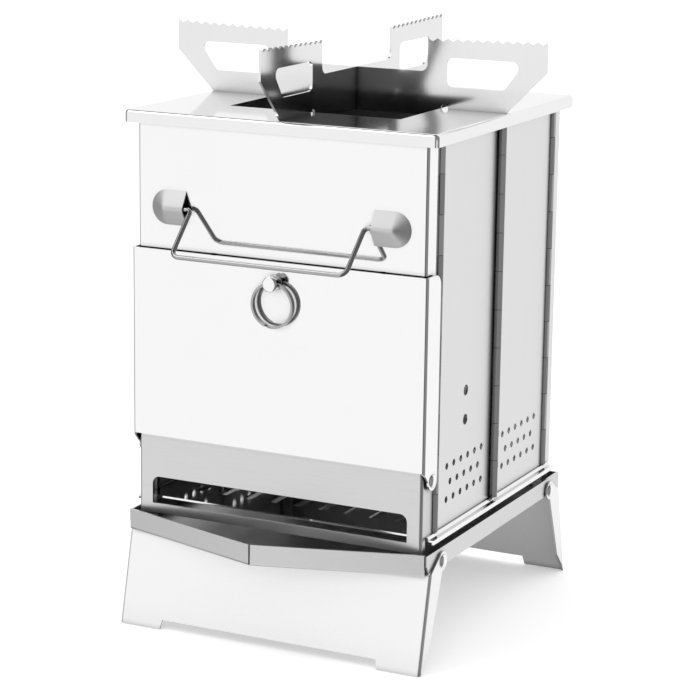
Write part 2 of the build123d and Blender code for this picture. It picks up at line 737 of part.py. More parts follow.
def leg_rivets(pivot):
    """The two rivets that one leg swings on."""
    outer = TRAY_HALF + LEG_FIT + SHEET + RIVET_FIT
    right = rivet_x(RIVET / 2, outer, TRAY_HALF - SHEET, pivot, LEG_PIVOT_Z, False)
    return Compound([right, mirrored_x(right)])


# Fire grate
def fire_grate():
    """The grate on four folded feet, stepped down at the sides to a short lip."""
    under = GRATE_TOP - SHEET
    step_end = GRATE_STEP_AT + SHEET
    lip_low = GRATE_TOP - GRATE_LIP_DROP
    half = [
        (0, GRATE_TOP),
        (GRATE_STEP_AT, GRATE_TOP),
        (step_end, GRATE_TOP - GRATE_STEP),
        (TRAY_HALF, GRATE_TOP - GRATE_STEP),
        (TRAY_HALF, lip_low),
        (TRAY_HALF - SHEET, lip_low),
        (TRAY_HALF - SHEET, under - GRATE_STEP),
        (step_end - SHEET / 2, under - GRATE_STEP),
        (GRATE_STEP_AT - SHEET / 2, under),
        (0, under),
    ]
    section = outline_of(*half)
    section += mirror(section, Plane.YZ)
    grate = across_y(section, -GRATE_END, GRATE_END)
    foot_low = FLOOR + SEAT / 2
    for x in (GRATE_FOOT_WIDTH - GRATE_FOOT_AT, GRATE_FOOT_AT):
        for y in (SHEET - GRATE_END, GRATE_END):
            grate += block(x - GRATE_FOOT_WIDTH, x, y - SHEET, y, foot_low, GRATE_TOP)
    first = -(GRATE_BARS - 1) / 2
    near, far = GRATE_SLOT_GAP / 2, GRATE_SLOT_GAP / 2 + GRATE_SLOT_LONG
    below, above = under - OVERCUT, GRATE_TOP + OVERCUT
    for index in range(GRATE_BARS):
        x = (first + index) * GRATE_BAR_PITCH
        left, right = x - GRATE_SLOT / 2, x + GRATE_SLOT / 2
        for start, end in ((near, far), (-far, -near)):
            grate -= block(left, right, start, end, below, above)
    return grate


# Every piece under its own name
right_front = side_leaf(FRONT_Y, True)
right_rear = side_leaf(BACK_Y, False)
PIECES = {
    "base_tray": base_tray(),
    "front_leg": front_leg(),
    "rear_leg": rear_leg(),
    "front_leg_rivets": leg_rivets(-FRONT_PIVOT),
    "rear_leg_rivets": leg_rivets(BACK_PIVOT),
    "fire_grate": fire_grate(),
    "front_panel": front_panel(),
    "back_panel": back_panel(),
    "right_front_leaf": right_front,
    "right_rear_leaf": right_rear,
    "left_front_leaf": mirrored_x(right_front),
    "left_rear_leaf": mirrored_x(right_rear),
    "feed_door": feed_door(),
    "door_rivets": door_rivets(),
    "ring_stud": ring_stud(),
    "pull_ring": pull_ring(),
    "right_bail_clip": bail_clip(),
    "left_bail_clip": mirrored_x(bail_clip()),
    "carry_bail": carry_bail(),
    "top_plate": top_plate(),
    "pot_support_front_back": pot_support_front_back(),
    "pot_support_left_right": pot_support_left_right(),
}
for side, sign in (("right", 1), ("left", -1)):
    PIECES[side + "_front_hinge_pin"] = hinge_pin(sign * CORNER_X, FRONT_Y)
    PIECES[side + "_middle_hinge_pin"] = hinge_pin(sign * MIDDLE_X, MIDDLE_Y)
    PIECES[side + "_rear_hinge_pin"] = hinge_pin(sign * CORNER_X, BACK_Y)

for name, piece in PIECES.items():
    export_step(Pos(0, FOOTPRINT_SHIFT, 0) * piece, f"parts/{name}.step")
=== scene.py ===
"""Folding camp stove: finishes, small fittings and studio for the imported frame."""

from math import cos, pi, radians, sin

import bpy
from mathutils import Matrix, Vector


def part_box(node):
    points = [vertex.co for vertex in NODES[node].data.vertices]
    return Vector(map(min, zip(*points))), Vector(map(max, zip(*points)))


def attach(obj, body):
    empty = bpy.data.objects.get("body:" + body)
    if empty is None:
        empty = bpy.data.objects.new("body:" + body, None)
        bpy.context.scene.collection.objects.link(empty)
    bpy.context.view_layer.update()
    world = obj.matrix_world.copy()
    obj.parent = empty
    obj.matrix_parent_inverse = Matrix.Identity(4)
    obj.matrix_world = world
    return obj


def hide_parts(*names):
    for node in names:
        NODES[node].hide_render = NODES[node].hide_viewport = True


bl_info = {
    "name": "Folding camp stove",
    "version": (1, 0, 0),
    "blender": (4, 5, 0),
    "location": "View3D > Sidebar > Camp stove",
    "description": "Finishes, small fittings and a studio for a folding sheet steel stove",
    "category": "Object",
}

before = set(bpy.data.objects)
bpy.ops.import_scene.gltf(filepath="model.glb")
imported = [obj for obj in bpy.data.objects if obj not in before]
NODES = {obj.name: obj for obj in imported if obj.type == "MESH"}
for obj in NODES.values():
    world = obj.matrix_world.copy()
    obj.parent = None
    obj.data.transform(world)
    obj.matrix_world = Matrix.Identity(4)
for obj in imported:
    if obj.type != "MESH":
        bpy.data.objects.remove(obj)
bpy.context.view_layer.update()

SHARP_ANGLE = radians(35)
SOFTENED_ANGLE = radians(50)

# How the steel surface is worked, with its painted shade: the noise's stretches, what
# lines and clouds do to the gloss, how open a place is where the painted shade starts and
# ends, and reaches in metres (the painted seam shade's among them)
ALONG_X = (25.0, 900.0, 900.0)
ALONG_Z = (900.0, 900.0, 20.0)
EVEN = (700.0, 700.0, 700.0)
CLOUD_SCALE = 14.0
LINE_GLOSS = -0.5
CLOUD_GLOSS = 0.4
SEAM_SHADE_REACH = 0.004
OPEN_SHARE = 0.75
ENCLOSED_SHARE = 0.25
OCCLUSION_SAMPLES = 8
RELIEF_HEIGHT = 0.00005

# Where the finish changes on a sheet, in metres: the darker, duller strip under the door,
# the hinge knuckles, and the painted shade on the legs' undersides, by the upward part of
# their normals
STRIP_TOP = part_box("feed_door")[0][2] + 0.012
STRIP_FADE = 0.001
STRIP_TINT = 0.73
STRIP_LINES = 0.12
STRIP_DULLER = 0.26
PANEL_LINES = 0.02
KNUCKLE_REACH = 0.0035
KNUCKLE_FADE = 0.001
UNDERSIDE_SHADE = 0.42
UNDERSIDE_LEAN = (-0.05, -0.1)

# Nearness at which two points count as one, and at which they are welded, in metres
SAME_PLACE = 1e-5
WELD = 1e-6

# Carry bail, in metres: the square that shrinks to the wire's first point, how far out
# the wire's corners are, and how far off a bend starts
SEED_SIZE = 0.001
EYE_CORNER = 0.0587
GRIP_CORNER = 0.0582
EYE_BEND = 0.003
GRIP_BEND = 0.005
BEND_STEPS = 8
WIRE_ROUNDNESS = 6

# Bail clips: each step goes inwards and up, in metres, and the spare length that is cut
# off at the mouth is a share of half the clip's height
CLIP_STEPS = ((0.00865, 0.0051), (0.001, 0.0005), (0.0007, 0.00025))
CLIP_SIDES = 48
CLIP_SPARE = 1.5

# Pull ring: degrees and steps of a flat turn, and of the bend between the turns
RING_TURN = (340, 68)
RING_STEP = (5, 1)
RING_STEPS = 4
RING_SOFTEN = 0.0002

# Ring stud, in metres: radius and height of each ring from its inner end to its neck,
# then how far each ring of the head stays inside the head's radius and below its top
STUD_BODY = (
    (0.0032, 0.0),
    (0.0032, 0.001),
    (0.00205, 0.001),
    (0.00205, 0.0022),
    (0.0043, 0.0022),
    (0.0045, 0.0024),
    (0.0045, 0.0030),
    (0.0043, 0.0032),
    (0.0033, 0.0032),
)
STUD_HEAD = ((0.0003, 0.0025), (0.0, 0.0022), (0.0, 0.0008), (0.0003, 0.0003), (0.0009, 0.0))
STUD_SIDES = 48
EYE_RADIUS = 0.0022
EYE_LENGTH = 0.012
EYE_SIDES = 32

# Rivets: radii and heights, in metres
DOOR_SHANK = 0.0015
LEG_SHANK = 0.002
TAIL_RADIUS = 0.0032
HEAD_RISE = 0.0016
HEAD_BASE = 0.0002
TAIL = (0.0, 0.001)
DOOR_WASHER = (0.0022, 0.0035)
RIVET_SIDES = 40
DOME_RINGS = 7
CROWN_SHARE = 0.35

# Studio, in metres. A dark card is given by its middle, half width and soft half width
# in degrees, and the ones at the sides also by how dark they are.
WHITE = (1.0, 1.0, 1.0)
CAMERA_PLACE = (0.6881, -1.4026, 0.5299)
CAMERA_SHIFT = (-0.00404, -0.02102)
CAMERA_REACH = 50.0
SENSOR_WIDTH = 36.0
FLOOR_SIZE = 12.0
FLOOR_DROP = 0.0004
FLOOR_COLOUR = (0.95, 0.95, 0.95)
FLOOR_LIFT = 0.32
LAMP_PLACE = (-1.0, -0.9, 1.8)
LAMP_AIM = (-1.0, -0.9, 1.6)
LAMP_SIZE = 1.2
SIDE_CARDS = ((71, 50, 62, 0.8), (-100, 20, 46, 0.75), (32, 6, 20, 1.0))
UPPER_CARD = (90, 16, 36)

# Which finish each carried-over sheet piece gets
FINISHES = {
    "front_panel": "Polished panel",
    "feed_door": "Polished door",
    "back_panel": "Brushed wall",
    "right_front_leaf": "Brushed leaf",
    "right_rear_leaf": "Brushed leaf",
    "left_front_leaf": "Brushed leaf",
    "left_rear_leaf": "Brushed leaf",
    "top_plate": "Polished top",
    "pot_support_front_back": "Pot support",
    "pot_support_left_right": "Pot support",
    "base_tray": "Tray sheet",
    "front_leg": "Leg sheet",
    "rear_leg": "Leg sheet",
    "fire_grate": "Grate sheet",
}


class StoveSizes(bpy.types.PropertyGroup):
    """Sizes of the small fittings."""

    wire: bpy.props.FloatProperty(
        name="Bail wire",
        description="Diameter of the carry bail's wire",
        default=0.003,
        unit="LENGTH",
    )
    ring_width: bpy.props.FloatProperty(
        name="Ring diameter",
        description="Outside diameter of the pull ring",
        default=0.0285,
        unit="LENGTH",
    )
    ring_band: bpy.props.FloatProperty(
        name="Ring band",
        description="Width and thickness of one turn of the ring",
        default=0.0015,
        unit="LENGTH",
    )
    rivet_head: bpy.props.FloatProperty(
        name="Rivet head",
        description="Diameter of the domed rivet heads",
        default=0.008,
        unit="LENGTH",
    )
    clip_sheet: bpy.props.FloatProperty(
        name="Clip sheet",
        description="Thickness of the pressed bail clips",
        default=0.001,
        unit="LENGTH",
    )
    stud_head: bpy.props.FloatProperty(
        name="Stud head",
        description="Diameter of the ring stud's head",
        default=0.0095,
        unit="LENGTH",
    )


class StoveFinish(bpy.types.PropertyGroup):
    """Colours and gloss of the steel."""

    polished: bpy.props.FloatVectorProperty(
        name="Polished steel",
        description="Colour of the bright sheet",
        default=(0.93, 0.93, 0.93),
        subtype="COLOR",
    )
    brushed: bpy.props.FloatVectorProperty(
        name="Brushed steel",
        description="Colour of the brushed sheet",
        default=(0.76, 0.76, 0.76),
        subtype="COLOR",
    )
    pins: bpy.props.FloatVectorProperty(
        name="Pin steel",
        description="Colour of the hinge pins",
        default=(0.297, 0.297, 0.297),
        subtype="COLOR",
    )
    wire: bpy.props.FloatVectorProperty(
        name="Wire steel",
        description="Colour of the bail and the pull ring",
        default=(0.43, 0.43, 0.43),
        subtype="COLOR",
    )
    polished_roughness: bpy.props.FloatProperty(
        name="Polished roughness",
        description="Roughness of the bright sheet",
        default=0.06,
        subtype="FACTOR",
    )
    brushed_roughness: bpy.props.FloatProperty(
        name="Brushed roughness",
        description="Roughness of the brushed sheet",
        default=0.30,
        subtype="FACTOR",
    )


class StoveStage(bpy.types.PropertyGroup):
    """Camera and lamps."""

    lens: bpy.props.FloatProperty(
        name="Lens", description="Focal length of the camera in millimetres", default=128.82
    )
    azimuth: bpy.props.FloatProperty(
        name="Azimuth",
        description="Camera's turn to the right of the front",
        default=radians(26.051),
        subtype="ANGLE",
    )
    elevation: bpy.props.FloatProperty(
        name="Elevation",
        description="Camera's height above the level line",
        default=radians(12.757),
        subtype="ANGLE",
    )
    roll: bpy.props.FloatProperty(
        name="Roll",
        description="Camera's tilt about its own axis",
        default=radians(0.819),
        subtype="ANGLE",
    )
    key_power: bpy.props.FloatProperty(
        name="Key lamp", description="Power of the large soft lamp", default=5.0, unit="POWER"
    )
    dark: bpy.props.FloatProperty(
        name="Dark cards",
        description="Brightness of the darkest cards",
        default=0.05,
        subtype="FACTOR",
    )


# Node helpers
def link(tree, source, target):
    """Wire one socket to another."""
    tree.links.new(source, target)


def new_group(name, inputs, outputs):
    """An empty node group with named sockets, and its two end nodes."""
    group = bpy.data.node_groups.new(name, "ShaderNodeTree")
    for label, kind, value in inputs:
        socket = group.interface.new_socket(label, in_out="INPUT", socket_type=kind)
        if value is not None:
            socket.default_value = value
    for label, kind in outputs:
        group.interface.new_socket(label, in_out="OUTPUT", socket_type=kind)
    start = group.nodes.new("NodeGroupInput")
    end = group.nodes.new("NodeGroupOutput")
    return group, start, end


def math_node(tree, operation, first, second=0.0, clamp=False):
    """A math node whose two inputs are sockets or plain numbers."""
    node = tree.nodes.new("ShaderNodeMath")
    node.operation = operation
    node.use_clamp = clamp
    for socket, value in zip(node.inputs, (first, second)):
        if isinstance(value, (int, float)):
            socket.default_value = value
        else:
            link(tree, value, socket)
    return node.outputs[0]


def gap(tree, value, middle):
    """How far a value is from a middle one, either way."""
    return math_node(tree, "ABSOLUTE", math_node(tree, "SUBTRACT", value, middle))


def ramp(tree, value, bottom, top, blend="LINEAR"):
    """A mask that grows from nothing at one value to one at another."""
    node = tree.nodes.new("ShaderNodeMapRange")
    node.interpolation_type = blend
    node.inputs["From Min"].default_value = bottom
    node.inputs["From Max"].default_value = top
    link(tree, value, node.inputs["Value"])
    return node.outputs["Result"]


def colour_mix(tree, mask, first, second):
    """One colour where the mask is nothing and another where it is one."""
    node = tree.nodes.new("ShaderNodeMix")
    node.data_type = "RGBA"
    node.inputs["A"].default_value = (*first, 1.0)
    node.inputs["B"].default_value = (*second, 1.0)
    link(tree, mask, node.inputs["Factor"])
    return node.outputs["Result"]


def coordinate(tree, kind, axis):
    """One axis of a surface point's place or of its normal."""
    place = tree.nodes["Texture Coordinate"]
    parts = tree.nodes.new("ShaderNodeSeparateXYZ")
    link(tree, place.outputs[kind], parts.inputs["Vector"])
    return parts.outputs[axis]


def noise_node(tree, vector, scale, detail):
    """Noise that is centred on zero."""
    node = tree.nodes.new("ShaderNodeTexNoise")
    node.inputs["Scale"].default_value = scale
    node.inputs["Detail"].default_value = detail
    link(tree, vector, node.inputs["Vector"])
    return math_node(tree, "SUBTRACT", node.outputs["Fac"], 0.5)


def steel_group():
    """Brushed lines, soft clouds, and painted shade in seams and in enclosed places, for every
    steel sheet.
    """
    name = "Steel surface"
    if name in bpy.data.node_groups:
        return bpy.data.node_groups[name]
    inputs = [
        ("Vector", "NodeSocketVector", None),
        ("Stretch", "NodeSocketVector", (30.0, 900.0, 900.0)),
        ("Tint", "NodeSocketColor", (0.7, 0.7, 0.7, 1.0)),
        ("Base Roughness", "NodeSocketFloat", 0.3),
        ("Lines", "NodeSocketFloat", 0.3),
        ("Clouds", "NodeSocketFloat", 0.1),
        ("Seam Shade", "NodeSocketFloat", 0.3),
        ("Shade", "NodeSocketFloat", 0.0),
        ("Shade Reach", "NodeSocketFloat", 0.15),
    ]
    outputs = [
        ("Color", "NodeSocketColor"),
        ("Roughness", "NodeSocketFloat"),
        ("Height", "NodeSocketFloat"),
    ]
    group, start, end = new_group(name, inputs, outputs)
    stretched = group.nodes.new("ShaderNodeVectorMath")
    stretched.operation = "MULTIPLY"
    link(group, start.outputs["Vector"], stretched.inputs[0])
    link(group, start.outputs["Stretch"], stretched.inputs[1])
    lines = noise_node(group, stretched.outputs[0], 1.0, 3.0)
    clouds = noise_node(group, start.outputs["Vector"], CLOUD_SCALE, 2.0)
    # Painted shade in seams: the colour darkens wherever another surface stands within a few
    # millimetres
    seam = group.nodes.new("ShaderNodeAmbientOcclusion")
    seam.samples = OCCLUSION_SAMPLES
    seam.inputs["Distance"].default_value = SEAM_SHADE_REACH
    seam_shade_mask = math_node(group, "SUBTRACT", 1.0, seam.outputs["AO"])
    # Painted shade in enclosed places: the colour darkens where little open space is seen within
    # the shade reach
    inside = group.nodes.new("ShaderNodeAmbientOcclusion")
    inside.samples = OCCLUSION_SAMPLES
    link(group, start.outputs["Shade Reach"], inside.inputs["Distance"])
    enclosed = ramp(group, inside.outputs["AO"], OPEN_SHARE, ENCLOSED_SHARE, "SMOOTHSTEP")
    shade_part = math_node(group, "MULTIPLY", enclosed, start.outputs["Shade"])
    lit = math_node(group, "SUBTRACT", 1.0, shade_part, clamp=True)
    line_part = math_node(group, "MULTIPLY", lines, start.outputs["Lines"])
    cloud_part = math_node(group, "MULTIPLY", clouds, start.outputs["Clouds"])
    seam_shade_part = math_node(group, "MULTIPLY", seam_shade_mask, start.outputs["Seam Shade"])
    shade = math_node(group, "ADD", 1.0, line_part)
    shade = math_node(group, "ADD", shade, cloud_part)
    shade = math_node(group, "SUBTRACT", shade, seam_shade_part, clamp=True)
    shade = math_node(group, "MULTIPLY", shade, lit)
    tint = group.nodes.new("ShaderNodeVectorMath")
    tint.operation = "SCALE"
    link(group, start.outputs["Tint"], tint.inputs[0])
    link(group, shade, tint.inputs["Scale"])
    link(group, tint.outputs[0], end.inputs["Color"])
    rough_lines = math_node(group, "MULTIPLY", line_part, LINE_GLOSS)
    rough_clouds = math_node(group, "MULTIPLY", cloud_part, CLOUD_GLOSS)
    rough = math_node(group, "ADD", start.outputs["Base Roughness"], rough_lines)
    rough = math_node(group, "ADD", rough, rough_clouds, clamp=True)
    link(group, rough, end.inputs["Roughness"])
    link(group, lines, end.inputs["Height"])
    return group


def steel(name, tint, roughness, stretch, lines, clouds, seam_shade, bump, shade=0.0, reach=0.15):
    """A metal material with its own colour, gloss and brushing, and painted shade in seams and
    enclosed places.
    """
    if name in bpy.data.materials:
        return bpy.data.materials[name]
    material = bpy.data.materials.new(name)
    material.use_nodes = True
    tree = material.node_tree
    shader = tree.nodes["Principled BSDF"]
    shader.inputs["Metallic"].default_value = 1.0
    place = tree.nodes.new("ShaderNodeTexCoord")
    surface = tree.nodes.new("ShaderNodeGroup")
    surface.node_tree = steel_group()
    settings = {
        "Stretch": stretch,
        "Tint": (*tint, 1.0),
        "Base Roughness": roughness,
        "Lines": lines,
        "Clouds": clouds,
        "Seam Shade": seam_shade,
        "Shade": shade,
        "Shade Reach": reach,
    }
    for socket, value in settings.items():
        surface.inputs[socket].default_value = value
    link(tree, place.outputs["Object"], surface.inputs["Vector"])
    link(tree, surface.outputs["Color"], shader.inputs["Base Color"])
    link(tree, surface.outputs["Roughness"], shader.inputs["Roughness"])
    relief = tree.nodes.new("ShaderNodeBump")
    relief.inputs["Strength"].default_value = bump
    relief.inputs["Distance"].default_value = RELIEF_HEIGHT
    link(tree, surface.outputs["Height"], relief.inputs["Height"])
    link(tree, relief.outputs["Normal"], shader.inputs["Normal"])
    return material


def scaled(colour, share):
    """A colour made darker or lighter."""
    return tuple(share * part for part in colour)


def make_steels(finish):
    """Every steel finish on the stove.

    Each row holds the tint, roughness, stretch, lines, clouds, painted seam shade and relief; the
    shade given apart is the painted shade in enclosed places.
    """
    bright = finish.polished_roughness
    satin = finish.brushed_roughness
    polished = finish.polished
    brushed = finish.brushed
    panel = (polished, bright, ALONG_X, PANEL_LINES, 0.03, 0.8, 0.02)
    brushed_foot(steel("Polished panel", *panel, shade=0.2), polished, bright)
    steel("Polished door", *panel, shade=0.75)
    steel("Brushed wall", brushed, satin, ALONG_X, 0.08, 0.05, 0.8, 0.12, shade=0.4)
    leaf = steel("Brushed leaf", brushed, satin, ALONG_Z, 0.04, 0.03, 0.9, 0.08, shade=0.4)
    rolled_knuckles(leaf, satin, bright)
    steel("Polished top", scaled(polished, 0.93), 0.08, ALONG_X, 0.06, 0.05, 0.7, 0.04)
    support = scaled(polished, 0.88)
    steel("Pot support", support, 0.12, ALONG_Z, 0.06, 0.06, 0.6, 0.05, shade=0.6, reach=0.05)
    tray = scaled(brushed, 0.92)
    steel("Tray sheet", tray, satin, ALONG_X, 0.10, 0.08, 0.7, 0.15, shade=0.1, reach=0.03)
    leg = (polished, satin, ALONG_X, 0.03, 0.03, 0.7, 0.05)
    paint_underside_shade(steel("Leg sheet", *leg, shade=0.35, reach=0.06), polished)
    steel("Grate sheet", polished, 0.08, ALONG_X, 0.06, 0.06, 0.5, 0.04)
    steel("Bright wire", finish.wire, 0.14, EVEN, 0.04, 0.04, 0.6, 0.02)
    steel("Rivet steel", polished, 0.16, EVEN, 0.05, 0.06, 0.9, 0.03)
    steel("Hinge pin", finish.pins, satin, EVEN, 0.05, 0.05, 0.8, 0.05)
    steel("Clip sheet", scaled(brushed, 0.8), 0.44, ALONG_X, 0.06, 0.3, 0.7, 0.08)


def brushed_foot(material, tint, bright):
    """Give the panel a darker, duller strip under the door, with stronger brushed lines."""
    tree = material.node_tree
    surface = tree.nodes["Group"]
    strip = ramp(tree, coordinate(tree, "Object", "Z"), STRIP_TOP, STRIP_TOP - STRIP_FADE)
    link(tree, colour_mix(tree, strip, tint, scaled(tint, STRIP_TINT)), surface.inputs["Tint"])
    lines = math_node(tree, "MULTIPLY", strip, STRIP_LINES)
    link(tree, math_node(tree, "ADD", lines, PANEL_LINES), surface.inputs["Lines"])
    duller = math_node(tree, "MULTIPLY", strip, STRIP_DULLER)
    link(tree, math_node(tree, "ADD", duller, bright), surface.inputs["Base Roughness"])


def rolled_knuckles(material, flat, rolled):
    """Give the hinge knuckles a brighter gloss than the flat sheet beside them."""
    tree = material.node_tree
    depth = coordinate(tree, "Object", "Y")
    mask = 0.0
    for pin in ("right_front_hinge_pin", "right_middle_hinge_pin", "right_rear_hinge_pin"):
        low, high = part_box(pin)
        away = gap(tree, depth, (low[1] + high[1]) / 2)
        near = ramp(tree, away, KNUCKLE_REACH + KNUCKLE_FADE, KNUCKLE_REACH)
        mask = math_node(tree, "MAXIMUM", near, mask)
    change = math_node(tree, "MULTIPLY", mask, rolled - flat)
    gloss = math_node(tree, "ADD", change, flat)
    link(tree, gloss, tree.nodes["Group"].inputs["Base Roughness"])


def paint_underside_shade(material, tint):
    """Paint shade on the legs' undersides, which lean over the ground: a darker steel where the
    normal points down.
    """
    tree = material.node_tree
    # Painted shade: faces of the legs that point downwards get a darker colour
    shaded_underside = ramp(tree, coordinate(tree, "Normal", "Z"), *UNDERSIDE_LEAN)
    mixed = colour_mix(tree, shaded_underside, tint, scaled(tint, UNDERSIDE_SHADE))
    link(tree, mixed, tree.nodes["Group"].inputs["Tint"])


# Modelling helpers
def clear_selection():
    """Leave edit mode and select nothing."""
    if bpy.context.object and bpy.context.object.mode != "OBJECT":
        bpy.ops.object.mode_set(mode="OBJECT")
    bpy.ops.object.select_all(action="DESELECT")


def only(obj):
    """Make one object the only selected one."""
    clear_selection()
    obj.select_set(True)
    bpy.context.view_layer.objects.active = obj


def edit_all():
    """Enter edit mode with everything selected."""
    bpy.ops.object.mode_set(mode="EDIT")
    bpy.ops.mesh.select_all(action="SELECT")


def face_outwards():
    """Turn every face outwards and leave edit mode."""
    bpy.ops.mesh.select_all(action="SELECT")
    bpy.ops.mesh.normals_make_consistent(inside=False)
    bpy.ops.object.mode_set(mode="OBJECT")


def named(name):
    """Name the object that an operator has just added."""
    obj = bpy.context.object
    obj.name = name
    obj.data.name = name
    return obj


def set_in_place(obj, matrix):
    """Put a piece in its place and leave its object unturned at the origin."""
    only(obj)
    obj.matrix_world = matrix
    bpy.ops.object.transform_apply(location=True, rotation=True, scale=True)


def dress(obj, material, body, nodes):
    """Finish a new piece: its material, its body and the nodes it stands for."""
    obj.data.materials.clear()
    obj.data.materials.append(bpy.data.materials[material])
    only(obj)
    bpy.ops.object.shade_smooth_by_angle(angle=SHARP_ANGLE)
    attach(obj, body)
    if nodes:
        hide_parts(*nodes)


def lathe(name, profile, sides, matrix):
    """A turned piece: rings of (radius, height) stacked along Z, then placed."""
    clear_selection()
    first_radius, first_height = profile[0]
    bpy.ops.mesh.primitive_circle_add(vertices=sides, radius=first_radius, fill_type="NGON")
    obj = named(name)
    edit_all()
    bpy.ops.transform.translate(value=(0, 0, first_height))
    radius, height = first_radius, first_height
    for next_radius, next_height in profile[1:]:
        rise = (0, 0, next_height - height)
        bpy.ops.mesh.extrude_region_move(TRANSFORM_OT_translate={"value": rise})
        share = next_radius / radius
        bpy.ops.transform.resize(value=(share, share, 1), center_override=(0, 0, next_height))
        radius, height = next_radius, next_height
    face_outwards()
    set_in_place(obj, matrix)
    return obj


def dome(radius, rise, steps):
    """Profile rings of a low dome from its rim to a small flat crown."""
    rings = []
    for step in range(steps):
        turn = (pi / 2) * (step + 1) / (steps + CROWN_SHARE)
        rings.append((radius * cos(turn), rise * sin(turn)))
    return rings


def aim(origin, direction, up=(0, 0, 1)):
    """A placement whose Z axis points in a direction."""
    z = Vector(direction).normalized()
    x = Vector(up).cross(z).normalized()
    y = z.cross(x)
    turn = Matrix((x, y, z)).transposed().to_4x4()
    return Matrix.Translation(origin) @ turn


def mirror_copy(obj, name):
    """A copy on the other side of the centre line, facing outwards."""
    only(obj)
    bpy.ops.object.duplicate(linked=False)
    twin = named(name)
    edit_all()
    bpy.ops.transform.resize(value=(-1, 1, 1), center_override=(0, 0, 0))
    face_outwards()
    return twin


def thicken(obj, sheet):
    """Give a pressed shell its sheet thickness on the inside."""
    only(obj)
    wall = obj.modifiers.new("Sheet", "SOLIDIFY")
    wall.thickness = sheet
    wall.offset = -1.0
    wall.use_even_offset = True
    bpy.ops.object.modifier_apply(modifier=wall.name)


def soften(obj, width):
    """Take the sharp edges off a small piece."""
    only(obj)
    edge = obj.modifiers.new("Soft edges", "BEVEL")
    edge.width = width
    edge.segments = 2
    edge.angle_limit = SOFTENED_ANGLE
    bpy.ops.object.modifier_apply(modifier=edge.name)


def join(objects, name):
    """Several meshes as one piece."""
    clear_selection()
    for obj in objects:
        obj.select_set(True)
    bpy.context.view_layer.objects.active = objects[0]
    bpy.ops.object.join()
    return named(name)


class STOVE_OT_sheets(bpy.types.Operator):
    """Give the folded sheet pieces and the hinge pins their steel"""

    bl_idname = "stove.sheets"
    bl_label = "Sheet finishes"

    def execute(self, context):
        make_steels(context.scene.stove_finish)
        for name, node in NODES.items():
            finish = FINISHES.get(name, "Hinge pin" if name.endswith("_pin") else "Rivet steel")
            for slot in node.material_slots:
                slot.material = bpy.data.materials[finish]
        return {"FINISHED"}


class STOVE_OT_carry_bail(bpy.types.Operator):
    """Bend the carry bail from round wire"""

    bl_idname = "stove.carry_bail"
    bl_label = "Carry bail"

    def execute(self, context):
        low, high = (Vector(corner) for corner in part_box("carry_bail"))
        radius = context.scene.stove_sizes.wire / 2
        eye = Vector((EYE_CORNER, high.y - radius, high.z - radius))
        grip = Vector((GRIP_CORNER, low.y + radius, low.z + radius))
        end = high.x
        corners = [
            Vector((-end, eye.y, eye.z)),
            Vector((-eye.x, eye.y, eye.z)),
            Vector((-grip.x, grip.y, grip.z)),
            Vector((grip.x, grip.y, grip.z)),
            Vector((eye.x, eye.y, eye.z)),
            Vector((end, eye.y, eye.z)),
        ]
        clear_selection()
        bpy.ops.mesh.primitive_plane_add(size=SEED_SIZE, location=corners[0])
        obj = named("carry_bail_wire")
        bpy.ops.object.transform_apply(location=True, rotation=True, scale=True)
        edit_all()
        bpy.ops.mesh.merge(type="CENTER")
        for start, stop in zip(corners, corners[1:]):
            bpy.ops.mesh.extrude_region_move(TRANSFORM_OT_translate={"value": stop - start})
        bpy.ops.object.mode_set(mode="OBJECT")
        for bend, places in ((EYE_BEND, (1, 4)), (GRIP_BEND, (2, 3))):
            self.round_off(obj, [corners[place] for place in places], bend)
        only(obj)
        bpy.ops.object.convert(target="CURVE")
        obj.data.bevel_depth = radius
        obj.data.bevel_resolution = WIRE_ROUNDNESS
        obj.data.use_fill_caps = True
        bpy.ops.object.convert(target="MESH")
        obj = named("carry_bail_wire")
        dress(obj, "Bright wire", "carry_bail", ["carry_bail"])
        return {"FINISHED"}

    def round_off(self, obj, places, bend):
        """Round the wire's corners at these places, from this far off."""
        for vertex in obj.data.vertices:
            vertex.select = any((vertex.co - place).length < SAME_PLACE for place in places)
        only(obj)
        bpy.ops.object.mode_set(mode="EDIT")
        bpy.ops.mesh.select_mode(type="VERT")
        bpy.ops.mesh.bevel(offset=bend, segments=BEND_STEPS, affect="VERTICES")
        bpy.ops.object.mode_set(mode="OBJECT")


